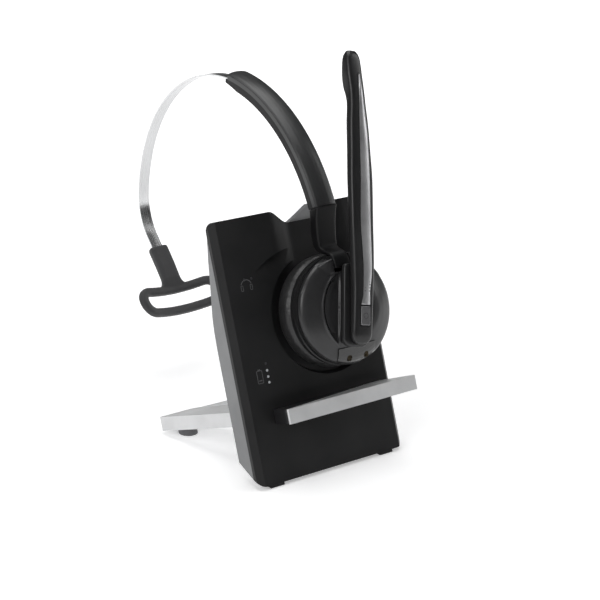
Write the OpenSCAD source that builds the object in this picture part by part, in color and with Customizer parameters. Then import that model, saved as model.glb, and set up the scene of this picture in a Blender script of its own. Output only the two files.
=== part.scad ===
/* [Dock] */
// Width of the dock across its face
dock_w = 87; // [84:0.5:92]
// Height of the dock, measured up its leaning face
dock_h = 128; // [126:1:132]
// Deepest thickness of the dock, face to back
dock_t = 15.4; // [15:0.1:17]
// Depth of the dark front cover's wrap-around edge
cover_t = 5; // [4.6:0.1:5.4]
// How far the dock leans back from upright, in degrees
lean = 18.8; // [16:0.2:21]
// Height of the front feet under the dock's lower edge
foot_h = 2; // [1.6:0.1:2.4]

/* [Stand] */
// Thickness of the aluminium stand plate
stand_t = 7.2; // [6:0.1:8]
// Height of the plate's underside up the face
stand_u = 27.8; // [26:0.2:30]
// How far the ledge stands out in front of the face
ledge_out = 13; // [11:0.5:14]
// How far the plate reaches behind the face
stand_back = 84; // [80:1:88]

/* [Ear cup] */
// Distance of the cup's axis right of the dock's middle
cup_x = 11.5; // [10:0.5:13]
// Height of the cup's axis up the face
cup_u = 75.5; // [74:0.5:77]
// Outer radius of the ear cushion
cushion_r = 28.5; // [27:0.5:29]
// Outer radius of the cup's housing
housing_r = 26.6; // [26:0.1:27]

/* [Headband] */
// Radius of the headband's arc, to the middle of the steel
band_r = 90; // [88:0.5:92]
// Width of the steel band
band_w = 6.4; // [6:0.1:7]
// Thickness of the steel band
band_t = 0.8; // [0.6:0.1:1]
// Width of the plastic headband arm
arm_w = 12; // [11:0.5:13]

/* [Boom] */
// Length of the boom above the cup's axis
boom_l = 123.5; // [118:0.5:128]
// Width of the boom at its foot
boom_w = 12.4; // [11:0.2:13]
// Lean of the stowed boom to the right, in degrees
boom_lean = 13.6; // [13:0.2:16]

/* [Hidden] */
$fn = 72;

// The bounding box's middle, seen from above, is the origin.
origin_x = 1.8;
origin_y = 93.85;

// Shared frame of the dock's face: X right, Y up the face, Z straight out of it.
edge_cut = 4;
corner_r = 4;
wall = 2;
seat_r = 29.4;
seat_d = 3.4;
post_r = 5.4;
post_top = 5;
dish_deg = 11;
dish_r = 37;
notch_top = 21.5;
notch_low = 9;
notch_drop = 6.8;
groove_d = 3.6;
gap = 0.3;

// Headband arc: its centre behind the face, and the angles of the pieces on it.
arc_u = 114;
arc_n = -75;
arm_lo = 7.4;
arm_hi = 66;
band_in = 34;
band_out = 155;
bend_r = 30;
bend_deg = 50;
stem_lean = 25;
end_deg = band_out + bend_deg;
end_u = arc_u + (band_r - bend_r) * sin(band_out) + bend_r * sin(end_deg);
end_n = arc_n + (band_r - bend_r) * cos(band_out) + bend_r * cos(end_deg);

module on_face() translate([-origin_x, -origin_y, foot_h]) rotate([90 - lean, 0, 0]) children();
module cup_frame() on_face() translate([cup_x, cup_u, 0]) children();
module arc_frame() on_face() translate([cup_x, arc_u, arc_n]) rotate([0, -90, 0]) children();
module boom_frame() cup_frame() rotate([0, 0, -boom_lean]) children();

// A slab of a flat outline between two heights over the face.
module slab(points, low, high) translate([0, 0, low]) linear_extrude(high - low) polygon(points);

// Height up the face at which the desk is met, for a distance out from the face
function desk_u(n) = -(foot_h + n * sin(lean)) / cos(lean);

// A piece of a side profile, given as height up and distance out, between two X positions.
module side(points, left, right)
  translate([right, 0, 0]) rotate([0, -90, 0]) linear_extrude(right - left)
    polygon([for (p = points) [p[1], p[0]]]);

function arc(c, r, from, to, n = 8) =
  [for (i = [0:n]) let (a = from + (to - from) * i / n) [c[0] + r * cos(a), c[1] + r * sin(a)]];
function smooth(t) = t * t * (3 - 2 * t);

// Outline of the dock, with rounded corners and the saddle cut into its top edge.
function saddle(drop) = [
  for (i = [0:10]) [cup_x + notch_top - (notch_top - notch_low) * i / 10, dock_h - drop * smooth(i / 10)],
  for (i = [0:10]) [cup_x - notch_low - (notch_top - notch_low) * i / 10, dock_h - drop * smooth(1 - i / 10)]
];
function dock_outline(in = 0, drop = notch_drop) = let (h = dock_w / 2 - in, r = corner_r) concat(
  arc([-h + r, in + r], r, 180, 270, 6), arc([h - r, in + r], r, 270, 360, 6),
  arc([h - r, dock_h - in - r], r, 0, 90, 6), [for (p = saddle(drop)) p - [0, in]],
  arc([-h + r, dock_h - in - r], r, 90, 180, 6));

// Back of the dock in side view: thin at the top, full depth in the middle, cut away at the foot.
back_curve = [
  [dock_h, -3.4], [125, -4.2], [117.5, -6], [110, -8], [98.5, -10.5], [90.5, -12.4], [83, -14.2],
  [76, -15], [68, -dock_t], [12.4, -dock_t], [1, -1.4], [0, 0]
];
function profile(in) = concat([for (p = back_curve) [p[0], min(0, p[1] + in)]], [[0, 2], [dock_h, 2]]);

// ---- dock ----

// Slot through which the stand plate passes the face
module stand_slot(side_gap) {
  linear_extrude(40, center = true) polygon([
    [26 - side_gap, stand_u - side_gap], [38.5 + side_gap, stand_u - side_gap],
    [38.5 + side_gap, stand_u + stand_t + side_gap], [26 - side_gap, stand_u + stand_t + side_gap]]);
}

// Soft groove that runs down from the saddle to the seat
module saddle_groove(depth) {
  translate([0, 100, 0]) rotate([-90, 0, 0]) linear_extrude(40) polygon(concat(
    [for (i = [0:12]) [cup_x - 23 + 14.5 * i / 12, depth * smooth(i / 12)]],
    [for (i = [0:12]) [cup_x + 8.5 + 14.5 * i / 12, depth * smooth(1 - i / 12)]],
    [[cup_x + 23, -3], [cup_x - 23, -3]]));
}

// Round seat for the cushion, with a shallow dish that opens it towards the saddle
module seat_cut() {
  difference() {
    translate([cup_x, cup_u, -seat_d]) cylinder(r1 = seat_r, r2 = seat_r + 1.8, h = seat_d + 0.8);
    translate([cup_x, cup_u, -seat_d - 1]) cylinder(r = post_r, h = 20);
  }
  difference() {
    intersection() {
      translate([cup_x - 12, 72, -10]) cylinder(r = dish_r, h = 30, $fn = 96);
      translate([-22, 100, 0]) rotate([0, 0, -19.7]) rotate([-dish_deg, 0, 0])
        translate([-30, -60, 0]) cube([120, 120, 30]);
    }
    translate([cup_x, cup_u, -seat_d - 1]) cylinder(r = post_r, h = 20);
  }
}

module dock_front_cover() color([0.09, 0.09, 0.095]) on_face() difference() {
  union() {
    difference() {
      slab(dock_outline(), -cover_t, 0);
      intersection() {
        slab(dock_outline(wall, 0), -cover_t - 1, -2.4);
        side([[4.95, -2.4], [7.8, -6], [130, -6], [130, -2.4]], -60, 60);
      }
    }
    // Thicker floor under the seat and behind the groove
    intersection() {
      slab(dock_outline(wall + 0.3), -6.2, -1);
      translate([cup_x, cup_u, -6.2]) cylinder(r = 32, h = 5);
    }
    intersection() {
      slab(dock_outline(), -cover_t, -1);
      translate([-36, 90, -cover_t]) cube([78, 40, cover_t]);
    }
    translate([cup_x, cup_u, -4]) cylinder(r = post_r, h = 4 + post_top);
    for (p = screw_places) translate([p[0], p[1], -10.4]) cylinder(r = 2.6, h = 9);
  }
  // Chamfered front edge
  for (s = [-1, 1]) translate([s * dock_w / 2, 64, 0]) rotate([0, 45, 0])
    cube([edge_cut, 140, edge_cut], center = true);
  saddle_groove(groove_d);
  seat_cut();
  side([[12.4, -dock_t], [1, -1.4], [-2, -1.4], [-2, -20]], -60, 60);
  stand_slot(gap);
  // Windows of the light guides, holes of the charging contacts and screws
  for (p = light_places) translate([p[0], p[1], -7]) cylinder(r = 0.7, h = 9, $fn = 24);
  for (s = [-1, 1]) translate([cup_x + 2.7 * s, cup_u, -8]) cylinder(r = 1.05, h = 15, $fn = 32);
  for (p = screw_places) translate([p[0], p[1], -11]) cylinder(r = 1.27, h = 8);
}

light_places = [
  [-27.6, 57.4], [-27.6, 54], [-27.6, 51], [-27.6, 48.2], [-30.5, 98.5], [-26.5, 98.5]
];

module dock_back_shell() color([0.45, 0.46, 0.47]) on_face() difference() {
  union() {
    intersection() {
      slab(dock_outline(0), -40, -cover_t - 0.05);
      side(profile(0), -60, 60);
    }
    // Fin that closes the saddle from behind
    slab([[4, 108], [4, 121.4], [8, 123.4], [17, 128.4], [33, 128.4], [33, 108]], -8.6, -cover_t - 0.05);
  }
  intersection() {
    slab(dock_outline(wall, notch_drop), -40, -cover_t + 1);
    side(concat([for (p = back_curve) if (p[0] < 118) [p[0] * 0.972 + 1.6, p[1] + wall]],
      [[2, 3], [116, 3]]), -60, 60);
  }
  slab([[-34.4, stand_u - gap], [29.6, stand_u - gap], [29.6, stand_u + stand_t + gap],
    [-34.4, stand_u + stand_t + gap]], -30, -dock_t + 4);
  for (x = phone_x) translate([x - 6.7, 36.3, -dock_t - 1]) cube([13.4, 10.8, 5]);
  translate([usb_x - 5.2, 39.8, -dock_t - 1]) cube([10.4, 5.2, 5]);
  translate([power_x, 43, -dock_t - 1]) cylinder(r = 5.2, h = 6);
  translate([page_x, switch_u, -20]) cylinder(r = 3.3, h = 12);
  translate([mode_x - 0.8, switch_u - 2.6, -20]) cube([9, 5.2, 12]);
  for (p = screw_places) translate([p[0], p[1], -dock_t - 1]) cylinder(r = 1.35, h = 6);
  for (p = screw_places) translate([p[0], p[1], -dock_t - 1]) cylinder(r = 2.7, h = 2.2);
  // Row of sound and cooling slots
  for (i = [-3:3]) translate([i * 6, 60, -dock_t - 1]) linear_extrude(4) square([1.6, 16], center = true);
}

page_x = -27;
mode_x = 23.3;
switch_u = 60;
phone_x = [-32, -17];
usb_x = 3;
power_x = 20;
screw_places = [[-36, 20], [36, 20], [-36, 66], [36, 66]];

module dock_circuit_board() color([0.1, 0.32, 0.18]) on_face() {
  translate([-33, 51.5, -8.8]) cube([66, 37, 1.4]);
  translate([-12, 60, -10.6]) cube([12, 12, 1.9]);
  translate([6, 56, -10.4]) cube([9, 6, 1.7]);
  translate([24, 68, -10.4]) cube([8, 14, 1.7]);
  translate([page_x - 3, switch_u - 3, -11.4]) cube([6, 6, 2.7]);
  translate([mode_x - 1, switch_u - 3, -11.6]) cube([9.4, 6, 2.9]);
}

module dock_contacts() color([0.83, 0.66, 0.3]) cup_frame()
  for (s = [-1, 1]) translate([2.7 * s, 0, -6.9]) {
    cylinder(r = 1, h = post_top + 7.5, $fn = 32);
    translate([0, 0, -0.5]) cylinder(r = 1.8, h = 0.6, $fn = 32);
  }

module dock_magnet() color([0.6, 0.61, 0.63]) cup_frame() translate([0, 0, -7.3]) difference() {
  cylinder(r = 14, h = 1.05);
  cylinder(r = 8, h = 5, center = true);
}

// Plan of the stand plate: a front bar, a neck through the dock and a long foot to the rear left.
module stand_plate() color([0.74, 0.75, 0.76]) on_face() {
  translate([0, stand_u, 0]) rotate([-90, 0, 0]) linear_extrude(stand_t) polygon(concat(
    arc([-27.7, -ledge_out + 0.8], 0.8, 180, 270, 4),
    [[0, -ledge_out], [47.6, -ledge_out]],
    arc([48.2, -ledge_out + 1], 1, 270, 400, 6),
    [[37.9, 0], [34.4, 4.6], [25.2, dock_t + 1.4]],
    arc([-25.6, stand_back - 2.4], 2, 40, 90, 4), arc([-43.6, stand_back - 2.4], 2, 90, 190, 6),
    [[-33.4, dock_t], [-33.4, 11.6], [26.4, 11.6], [26.4, 0.2], [-28.5, -11.8]]));
  // Low rib along the plate's rear edge
  translate([-24.4, stand_u + stand_t - 0.02, -stand_back + 2.6]) rotate([0, -53.3, 0])
    translate([0, 0, 0.6]) linear_extrude(2.4) polygon([[0, 0], [26, 0], [26, 2], [23, 2]]);
}

module ledge_block() color([0.13, 0.13, 0.135]) on_face()
  translate([0, stand_u + 0.1, 0]) rotate([-90, 0, 0]) linear_extrude(stand_t - 0.2) polygon(concat(
    [[22, -0.15], [22, -0.6]], arc([-27.5, -10.1], 1, 275, 180, 4), [[-28.5, -0.15]]));

module light_guides() color([0.8, 0.82, 0.82]) on_face()
  for (p = light_places) translate([p[0], p[1], -7.3]) {
    cylinder(r = 0.6, h = 7.3, $fn = 24);
    cylinder(r = 1.1, h = 1.2, $fn = 24);
  }

module ballast_plate() color([0.35, 0.35, 0.37]) on_face()
  side([[6.2, -2.6], [25.6, -2.6], [25.6, -13.2], [14.4, -13.2], [6.2, -3]], -32, 32);

module front_feet() color([0.06, 0.06, 0.06]) on_face() for (s = [-1, 1]) translate([s * 33, 0, 0])
  side([[0.98, -1.5], [4.64, -6], [desk_u(-6), -6], [desk_u(-1.5), -1.5]], -4, 4);

module rear_foot_pad() color([0.3, 0.3, 0.31]) on_face() intersection() {
  translate([-33.5, stand_u, -77.5]) rotate([90, 0, 0]) cylinder(r = 4.9, h = 9);
  side([[desk_u(-90), -90], [60, -90], [60, -60], [desk_u(-60), -60]], -60, 0);
}

module power_inlet() color([0.1, 0.1, 0.1]) on_face() difference() {
  union() {
    translate([power_x, 43, -dock_t + 0.2]) cylinder(r = 5, h = 7.6);
    translate([power_x, 43, -dock_t - 0.4]) cylinder(r = 4.6, h = 1);
  }
  translate([power_x, 43, -dock_t - 1]) cylinder(r = 2.75, h = 8);
}

module usb_socket() color([0.7, 0.71, 0.72]) on_face() difference() {
  translate([usb_x - 4.9, 40.1, -dock_t - 0.3]) cube([9.8, 4.6, 7.8]);
  translate([usb_x - 4.2, 40.8, -dock_t - 1]) cube([8.4, 3.2, 6.6]);
}

module phone_sockets() color([0.12, 0.12, 0.12]) on_face() for (x = phone_x) difference() {
  translate([x - 6.4, 36.6, -dock_t + 0.1]) cube([12.8, 10.2, 12]);
  translate([x - 5, 37.5, -dock_t - 1]) cube([10, 6.7, 10.6]);
  translate([x - 2, 44, -dock_t - 1]) cube([4, 2.1, 10.6]);
}

module cover_screws() color([0.55, 0.56, 0.58]) on_face() for (p = screw_places)
  translate([p[0], p[1], -dock_t + 0.2]) difference() {
    union() {
      cylinder(r = 2.5, h = 1);
      cylinder(r = 1.25, h = 9);
    }
    translate([0, 0, -0.5]) linear_extrude(1) square([0.6, 3.2], center = true);
    translate([0, 0, -0.5]) linear_extrude(1) square([3.2, 0.6], center = true);
  }

module page_button() color([0.1, 0.1, 0.1]) on_face() translate([page_x, switch_u, -dock_t - 0.6]) {
  cylinder(r = 3, h = 3.4);
  translate([0, 0, 2.95]) cylinder(r = 3.9, h = 0.7);
}

module mode_switch() color([0.15, 0.15, 0.15]) on_face() translate([mode_x, switch_u, -dock_t - 0.6]) {
  translate([0, -2, 0]) cube([3.4, 4, 3.4]);
  translate([-1, -3.2, 2.95]) cube([5.4, 6.4, 0.7]);
}

// ---- headband arm and headband ----

// Stretch of the headband arm with a rectangular section, rounded on its outer face
module arm_stretch(from, to, r_in, r_out, w, crown = 0) rotate([0, 0, from])
  rotate_extrude(angle = to - from) polygon(concat(
    [[r_in, -w / 2], [r_out - crown, -w / 2]],
    crown > 0 ? [for (a = [-80:20:80]) [r_out - crown + crown * cos(a), w / 2 * sin(a)]] : [],
    [[r_out - crown, w / 2], [r_in, w / 2]]));

module band_channel() rotate([0, 0, 20]) rotate_extrude(angle = 60)
  polygon([[89.4, -3.5], [91, -3.5], [91, 3.5], [89.4, 3.5]]);

module arm_outer_shell() color([0.28, 0.29, 0.3]) arc_frame()
  arm_stretch(arm_lo, arm_hi, 90.75, 94.6, arm_w, 1.6);

module arm_inner_shell() color([0.07, 0.07, 0.075]) arc_frame() difference() {
  arm_stretch(arm_lo, arm_hi + 1.2, 87, 90.7, arm_w - 0.3);
  band_channel();
  // The underside runs out thinner towards the band
  linear_extrude(40, center = true) polygon(concat(
    [for (i = [0:8]) let (a = 60 + (arm_hi - 58) * i / 8, r = 86.9 + 2.2 * i / 8) [r * cos(a), r * sin(a)]],
    [for (i = [8:-1:0]) let (a = 60 + (arm_hi - 58) * i / 8) [80 * cos(a), 80 * sin(a)]]));
  for (a = [16, 58]) rotate([0, 0, a]) translate([86, 0, 0]) rotate([0, 90, 0]) cylinder(r = 1.5, h = 1.8);
}

module arm_screws() color([0.5, 0.5, 0.52]) arc_frame()
  for (a = [16, 58]) rotate([0, 0, a]) translate([87.1, 0, 0]) rotate([0, 90, 0])
    cylinder(r = 1.4, h = 0.7);

module arm_yoke() color([0.06, 0.06, 0.065]) on_face() difference() {
  union() {
    // Neck that drops from the arm's end to the cup's rim
    side([[124.98, 11.35], [125.91, 18.64], [122, 17.3], [118, 15.8], [113, 14.3], [108.5, 13.7], [105.6, 13.8],
      [104.1, 12.6], [104.1, 9.4], [105.6, 7.9], [108.5, 7.5], [113, 8.1], [118, 9.2], [122, 10.4]],
      cup_x - 6.1, cup_x + 6.1);
    // Tongue that steps over the rim to the pin
    side([[108, 13.6], [106, 14.4], [104.9, 16.2], [103.9, 19], [101.8, 21.6], [98.8, 22.6], [96, 22.8],
      [95.4, 22.1], [95.4, 17.2], [102.9, 17.2], [103.4, 15.2], [104, 12.6], [104.2, 9.6], [106, 8.4]],
      cup_x - 4.6, cup_x + 4.6);
  }
  translate([cup_x - 10, 99.2, 19.6]) rotate([0, 90, 0]) cylinder(r = 1.56, h = 20, $fn = 48);
}

module cup_pivot_pin() color([0.6, 0.61, 0.63]) on_face()
  translate([cup_x - 7.6, 99.2, 19.6]) rotate([0, 90, 0]) cylinder(r = 1.5, h = 15.2, $fn = 48);

// Line of the band, drawn beside its middle: the arc, the inward bend and the straight end
function band_line(beside) = let (c = (band_r - bend_r) * [cos(band_out), sin(band_out)],
  e = c + (bend_r + beside) * [cos(end_deg), sin(end_deg)]) concat(
    arc([0, 0], band_r + beside, band_in, band_out, 72),
    [for (i = [1:24]) c + (bend_r + beside)
      * [cos(band_out + bend_deg * i / 24), sin(band_out + bend_deg * i / 24)]],
    [e + 10 * [-sin(end_deg), cos(end_deg)]]);
function reversed(v) = [for (i = [len(v) - 1:-1:0]) v[i]];

module steel_headband() color([0.72, 0.73, 0.74]) arc_frame() linear_extrude(band_w, center = true)
  polygon(concat(band_line(band_t / 2), reversed(band_line(-band_t / 2))));

module band_stop() color([0.3, 0.3, 0.32]) arc_frame() rotate([0, 0, band_in - 1.6])
  rotate_extrude(angle = 1.5) translate([band_r, 0]) square([0.9, 6.8], center = true);

// End of the bent band: Y runs back up the band, Z faces the dock.
module tbar_frame() on_face() translate([cup_x, end_u, end_n]) rotate([-stem_lean, 0, 0]) children();

pin_y = -11.5;
module tbar_clip() color([0.25, 0.25, 0.26]) tbar_frame() difference() {
  union() {
    translate([-4.2, pin_y, -1.5]) cube([8.4, 3.2, 3]);
    translate([-4.2, pin_y, 0]) rotate([0, 90, 0]) cylinder(r = 1.5, h = 8.4);
  }
  translate([-band_w / 2 - 0.05, -10.05, -band_t / 2 - 0.05]) cube([band_w + 0.1, 20, band_t + 0.1]);
  translate([-10, pin_y, 0]) rotate([0, 90, 0]) cylinder(r = 0.82, h = 20, $fn = 32);
}

module tbar_pin() color([0.6, 0.6, 0.62]) tbar_frame()
  translate([-5.2, pin_y, 0]) rotate([0, 90, 0]) cylinder(r = 0.76, h = 10.4, $fn = 32);

function stadium(w, h, r) = concat(arc([w / 2 - r, h / 2 - r], r, 0, 90, 6),
  arc([-w / 2 + r, h / 2 - r], r, 90, 180, 6), arc([-w / 2 + r, -h / 2 + r], r, 180, 270, 6),
  arc([w / 2 - r, -h / 2 + r], r, 270, 360, 6));

tbar_w = 53;
tbar_h = 18;
tbar_bar = 5;
tbar_mid = -40.5;
tbar_curve = 48;

module tbar_pad() color([0.16, 0.16, 0.165]) tbar_frame() difference() {
  union() {
    intersection() {
      translate([0, 0, tbar_curve - 2.2]) rotate([90, 0, 0]) rotate_extrude($fn = 96)
        polygon([[tbar_curve - 2.2, 0], [tbar_curve + 2.2, 0], [tbar_curve + 2.2, 60], [tbar_curve - 2.2, 60]]);
      translate([0, tbar_mid, -20]) linear_extrude(40) polygon(stadium(tbar_w, tbar_h, 8.2));
    }
    // Stem that wraps the clip
    translate([0, 0, -3]) linear_extrude(6) polygon(concat(
      arc([-3.9, -9.1], 1.6, 180, 90, 4), arc([3.9, -9.1], 1.6, 90, 0, 4),
      [[5.5, -28], [6.3, -30.6], [8.6, -32.4], [8.6, -34], [-8.6, -34], [-8.6, -32.4], [-6.3, -30.6], [-5.5, -28]]));
  }
  translate([0, tbar_mid, -20]) linear_extrude(40)
    polygon(stadium(tbar_w - 2 * tbar_bar, tbar_h - 2 * tbar_bar, 3.9));
  // Pocket for the clip, open at the top, with room for the swivel
  side([[pin_y - 1.9, -1.85], [pin_y - 1.9, 1.85], [-8, 2.1], [4, 2.1], [4, -2.1], [-8, -2.1]], -4.5, 4.5);
  translate([-5.3, pin_y, 0]) rotate([0, 90, 0]) cylinder(r = 0.78, h = 10.6, $fn = 32);
}

// ---- ear cup ----

// Section of a cushion ring: a rounded form between two radii and two heights
function puff(r0, r1, z0, z1, power = 0.62) = [for (a = [0:15:345])
  let (c = cos(a), s = sin(a))
    [(r0 + r1) / 2 + (r1 - r0) / 2 * sign(c) * pow(abs(c), power),
     (z0 + z1) / 2 + (z1 - z0) / 2 * sign(s) * pow(abs(s), power)]];

module ear_cushion() color([0.07, 0.07, 0.07]) cup_frame() rotate_extrude()
  polygon(puff(12, cushion_r, -3, 10.2));

module cushion_carrier() color([0.1, 0.1, 0.1]) cup_frame() difference() {
  union() {
    translate([0, 0, 10.25]) cylinder(r = 26.8, h = 1.7);
    translate([0, 0, 7.6]) cylinder(r = 11.6, h = 3);
  }
  translate([0, 0, 6]) cylinder(r = 10.4, h = 10);
}

module speaker_grille() color([0.2, 0.2, 0.2]) cup_frame() difference() {
  translate([0, 0, 8]) cylinder(r = 10.2, h = 1);
  for (a = [15:30:345]) rotate([0, 0, a]) translate([7.4, 0, 7]) cylinder(r = 1.1, h = 3, $fn = 24);
  for (s = [-1, 1]) translate([2.7 * s, 0, 7]) cylinder(r = 1.3, h = 3, $fn = 32);
}

module speaker_driver() color([0.3, 0.3, 0.32]) cup_frame() {
  translate([0, 0, 9.4]) cylinder(r = 10, h = 2.6);
  translate([0, 0, 12]) cylinder(r = 7, h = 1.6);
}

module cup_rear_ring() color([0.09, 0.09, 0.095]) cup_frame() rotate_extrude() polygon([
  [24.4, 12], [27, 12], [27, 13.2], [26.2, 13.6], [26.2, 14.2], [27, 14.6], [27, 16.4], [24.4, 16.4]]);

dome_face = 23.4;
function dome(in) = [for (a = [0:9:90]) [(housing_r - in) * pow(cos(a), 0.55),
  16.5 + (dome_face - in - 16.5) * pow(sin(a), 0.9)]];

// Area of the shallow recess beside the boom's hub, parallel to the stowed boom
lens_c = 4.8;
lens_r = 20.7;
lens_edge = -7;
module lens_area(grow, base) rotate([0, 0, -boom_lean]) intersection() {
  translate([lens_c, 0, base]) cylinder(r = lens_r + grow, h = 10);
  translate([-30, -30, base]) cube([30 + lens_edge + grow, 60, 10]);
}

// Crescent outline shared by the rocker key and its slot
module crescent(grow, base, top) rotate([0, 0, -boom_lean]) intersection() {
  difference() {
    translate([lens_c, 0, base]) cylinder(r = lens_r - 0.4 + grow, h = top - base);
    translate([lens_c + 2.6, 0, base - 1]) cylinder(r = lens_r - 0.4 - grow, h = top - base + 2);
  }
  translate([-17 - grow, -12 - grow, base]) cube([9 + 2 * grow, 24 + 2 * grow, top - base]);
}
module rocker_axle(r, grow) rotate([0, 0, -boom_lean]) translate([-16.9 - grow, 0, rocker_z])
  rotate([0, 90, 0]) cylinder(r = r, h = 5.6 + 2 * grow, $fn = 32);
rocker_z = 20.6;

module cup_front_shell() color([0.14, 0.14, 0.145]) cup_frame() difference() {
  rotate_extrude() polygon(concat([[0, 16.5]], dome(0)));
  difference() {
    translate([0, 0, 15]) rotate_extrude() polygon(concat([[0, 0]], [for (p = dome(1.8)) p - [0, 15]]));
    translate([0, 0, 14]) cylinder(r = 5, h = 14);
    lens_area(1.4, 19.4);
  }
  translate([0, 0, 10]) cylinder(r = 2.65, h = 20);
  lens_area(0, 21.8);
  crescent(0.35, 19, 24);
  rocker_axle(0.75, 0.3);
  translate([-7.6, 17.6, 14]) cube([15.2, 14, 12]);
  translate([-11.3, -32, 14]) cube([22.6, 14.3, 12]);
}

module cup_hinge_lug() color([0.1, 0.1, 0.105]) on_face() for (s = [-1, 1])
  translate([cup_x + s * 6.1 - 1.2, 0, 0]) difference() {
    side([[86, 14.4], [86, 16.4], [93, 16.6], [96, 21.8], [98, 22], [101.6, 21.4], [102, 18], [99.4, 16.8],
      [94, 14.4]], 0, 2.4);
    translate([-1, 99.2, 19.6]) rotate([0, 90, 0]) cylinder(r = 1.52, h = 5, $fn = 48);
  }

module battery_cell() color([0.25, 0.3, 0.45]) cup_frame()
  translate([-18.4, -9, 14.4]) cube([13, 17, 4]);

module headset_circuit_board() color([0.1, 0.32, 0.18]) cup_frame() difference() {
  translate([0, 0, 13.7]) linear_extrude(0.6) difference() {
    circle(r = 23);
    circle(r = 7.4);
  }
  translate([-30, 20, 10]) cube([60, 20, 10]);
}

module charge_pads() color([0.83, 0.66, 0.3]) cup_frame()
  for (s = [-1, 1]) translate([2.7 * s, 0, 5.95]) cylinder(r = 1.25, h = 3, $fn = 32);

module cable_contacts() color([0.83, 0.66, 0.3]) cup_frame()
  for (s = [-1, 1]) translate([5 * s, -23.4, 16.7]) cylinder(r = 1.4, h = 3.8, $fn = 32);

module lower_cover() color([0.05, 0.05, 0.05]) cup_frame() difference() {
  intersection() {
    rotate_extrude() polygon(concat([[0, 16.5]], dome(0.05)));
    translate([-11, -32, 14]) cube([22, 14, 12]);
  }
  translate([0, 0, 15]) rotate_extrude() polygon(concat([[0, 0]], [for (p = dome(2.6)) p - [0, 15]]));
  for (s = [-1, 1]) translate([5 * s, -23.4, 14]) cylinder(r = 1.45, h = 12, $fn = 32);
}

module magnet_keeper() color([0.55, 0.56, 0.58]) cup_frame() translate([0, 0, 12.05]) difference() {
  cylinder(r = 15.5, h = 1.3);
  cylinder(r = 11, h = 5, center = true);
}

// Crescent key that rocks about its middle
module volume_rocker() color([0.2, 0.2, 0.205]) cup_frame() {
  crescent(0, rocker_z - 0.6, 22.9);
  rocker_axle(0.7, 0);
}

// ---- boom ----

module boom_spindle() color([0.6, 0.61, 0.63]) cup_frame() translate([0, 0, 15.3]) cylinder(r = 2.6, h = 9.5);

module spindle_clip() color([0.5, 0.5, 0.52]) cup_frame() translate([0, 0, 15.4]) difference() {
  cylinder(r = 4.4, h = 0.7);
  cylinder(r = 2.61, h = 5, center = true);
}

hub_left = 6.8;
module boom_hub() color([0.12, 0.12, 0.125]) boom_frame() difference() {
  intersection() {
    translate([-hub_left, -18.5, 24]) cube([hub_left + 8, 39.5, 2.6]);
    translate([0, 0, 20]) cylinder(r1 = 27.6, r2 = 21.4, h = 7.4);
  }
  translate([0, 0, 23]) cylinder(r = 2.65, h = 1.9);
}

// Plan and side view of the boom, which bows to the left towards its tip
boom_foot = -17.6;
function bow(y) = lookup(y, [[-18, 1.6], [8, 1.6], [18, 1.35], [42, 0], [64, -0.65], [88, -1.65], [102, -2.1],
  [113, -3.1], [124, -3.4]]);
function edge(side, w, y) = [side * w + bow(y), y];
boom_widths = [[20, 6.1], [42, 6.4], [60, 6.5], [75, 5.9], [88, 5.35], [98, 4.5], [106, 4.3], [113, 4.3],
  [119, 4]];
boom_plan = concat(arc([bow(0), boom_foot + 5.6], 5.6, 180, 360, 10),
  [for (p = boom_widths) edge(1, p[1], p[0])],
  arc([bow(boom_l) + 0.8, boom_l - 2.2], 2.2, 0, 90, 5), arc([bow(boom_l) - 0.8, boom_l - 2.2], 2.2, 90, 180, 5),
  [for (i = [len(boom_widths) - 1:-1:0]) edge(-1, boom_widths[i][1], boom_widths[i][0])]);
boom_side = [
  [-17.6, 26.7], [-17.6, 29.2], [-13, 31], [10, 31.8], [45, 32.6], [80, 32], [108, 30.2], [120, 28.4], [123.5, 26.4],
  [122, 23], [106, 22.6], [99, 25.4], [80, 26.6], [45, 27.6], [20, 27.2], [6, 26.7]
];

module boom_body() intersection() {
  slab(boom_plan, 15, 40);
  side(boom_side, -20, 20);
}

module boom_arm() color([0.12, 0.12, 0.125]) boom_frame() difference() {
  boom_body();
  translate([-0.85, -9, 29.6]) cube([6, 10, 5]);
  // Bed of the inlay strip
  inlay_outline(0.05, 30.9);
  translate([bow(mic_y), mic_y, 20]) cylinder(r = 1.9, h = 6);
}

mic_y = 114;
inlay_left = [[1.3, -2.1], [5.5, -1.1], [18, -1], [30, -1.5], [41, -1.9], [60, -1.4], [76, -1.05], [100, -0.1],
  [112, 1.2]];
inlay_right = [[112, 1.7], [100, 2.2], [76, 3.6], [41, 3.7], [18, 3.7], [5.5, 2.5], [1.3, 2.8]];
module inlay_outline(grow, base) intersection() {
  slab(concat([for (p = inlay_left) [p[1] - grow + bow(p[0]), p[0] + grow * sign(p[0] - 20)]],
    [for (p = inlay_right) [p[1] + grow + bow(p[0]), p[0] + grow * sign(p[0] - 20)]]), base - 2, 40);
  side([[1.3 - grow, 31.1 - grow], [45, 31.7 - grow], [80, 31.1 - grow], [108, 29.3 - grow], [113, 28.7 - grow],
    [113, 36], [1.3 - grow, 36]], -9, 9);
}

module boom_inlay() color([0.7, 0.7, 0.71]) boom_frame() intersection() {
  boom_body();
  inlay_outline(0, 31);
}

module mic_capsule() color([0.4, 0.4, 0.42]) boom_frame() translate([bow(mic_y), mic_y, 23.5])
  cylinder(r = 1.8, h = 2.4);

module mic_mesh() color([0.05, 0.05, 0.05]) boom_frame() translate([bow(mic_y), mic_y, 22.75])
  cylinder(r = 1.8, h = 0.7);

module mute_button() color([0.66, 0.66, 0.67]) boom_frame()
  translate([-0.45, -8.6, 30.3]) cube([5.2, 9.2, 1.9]);

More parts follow.
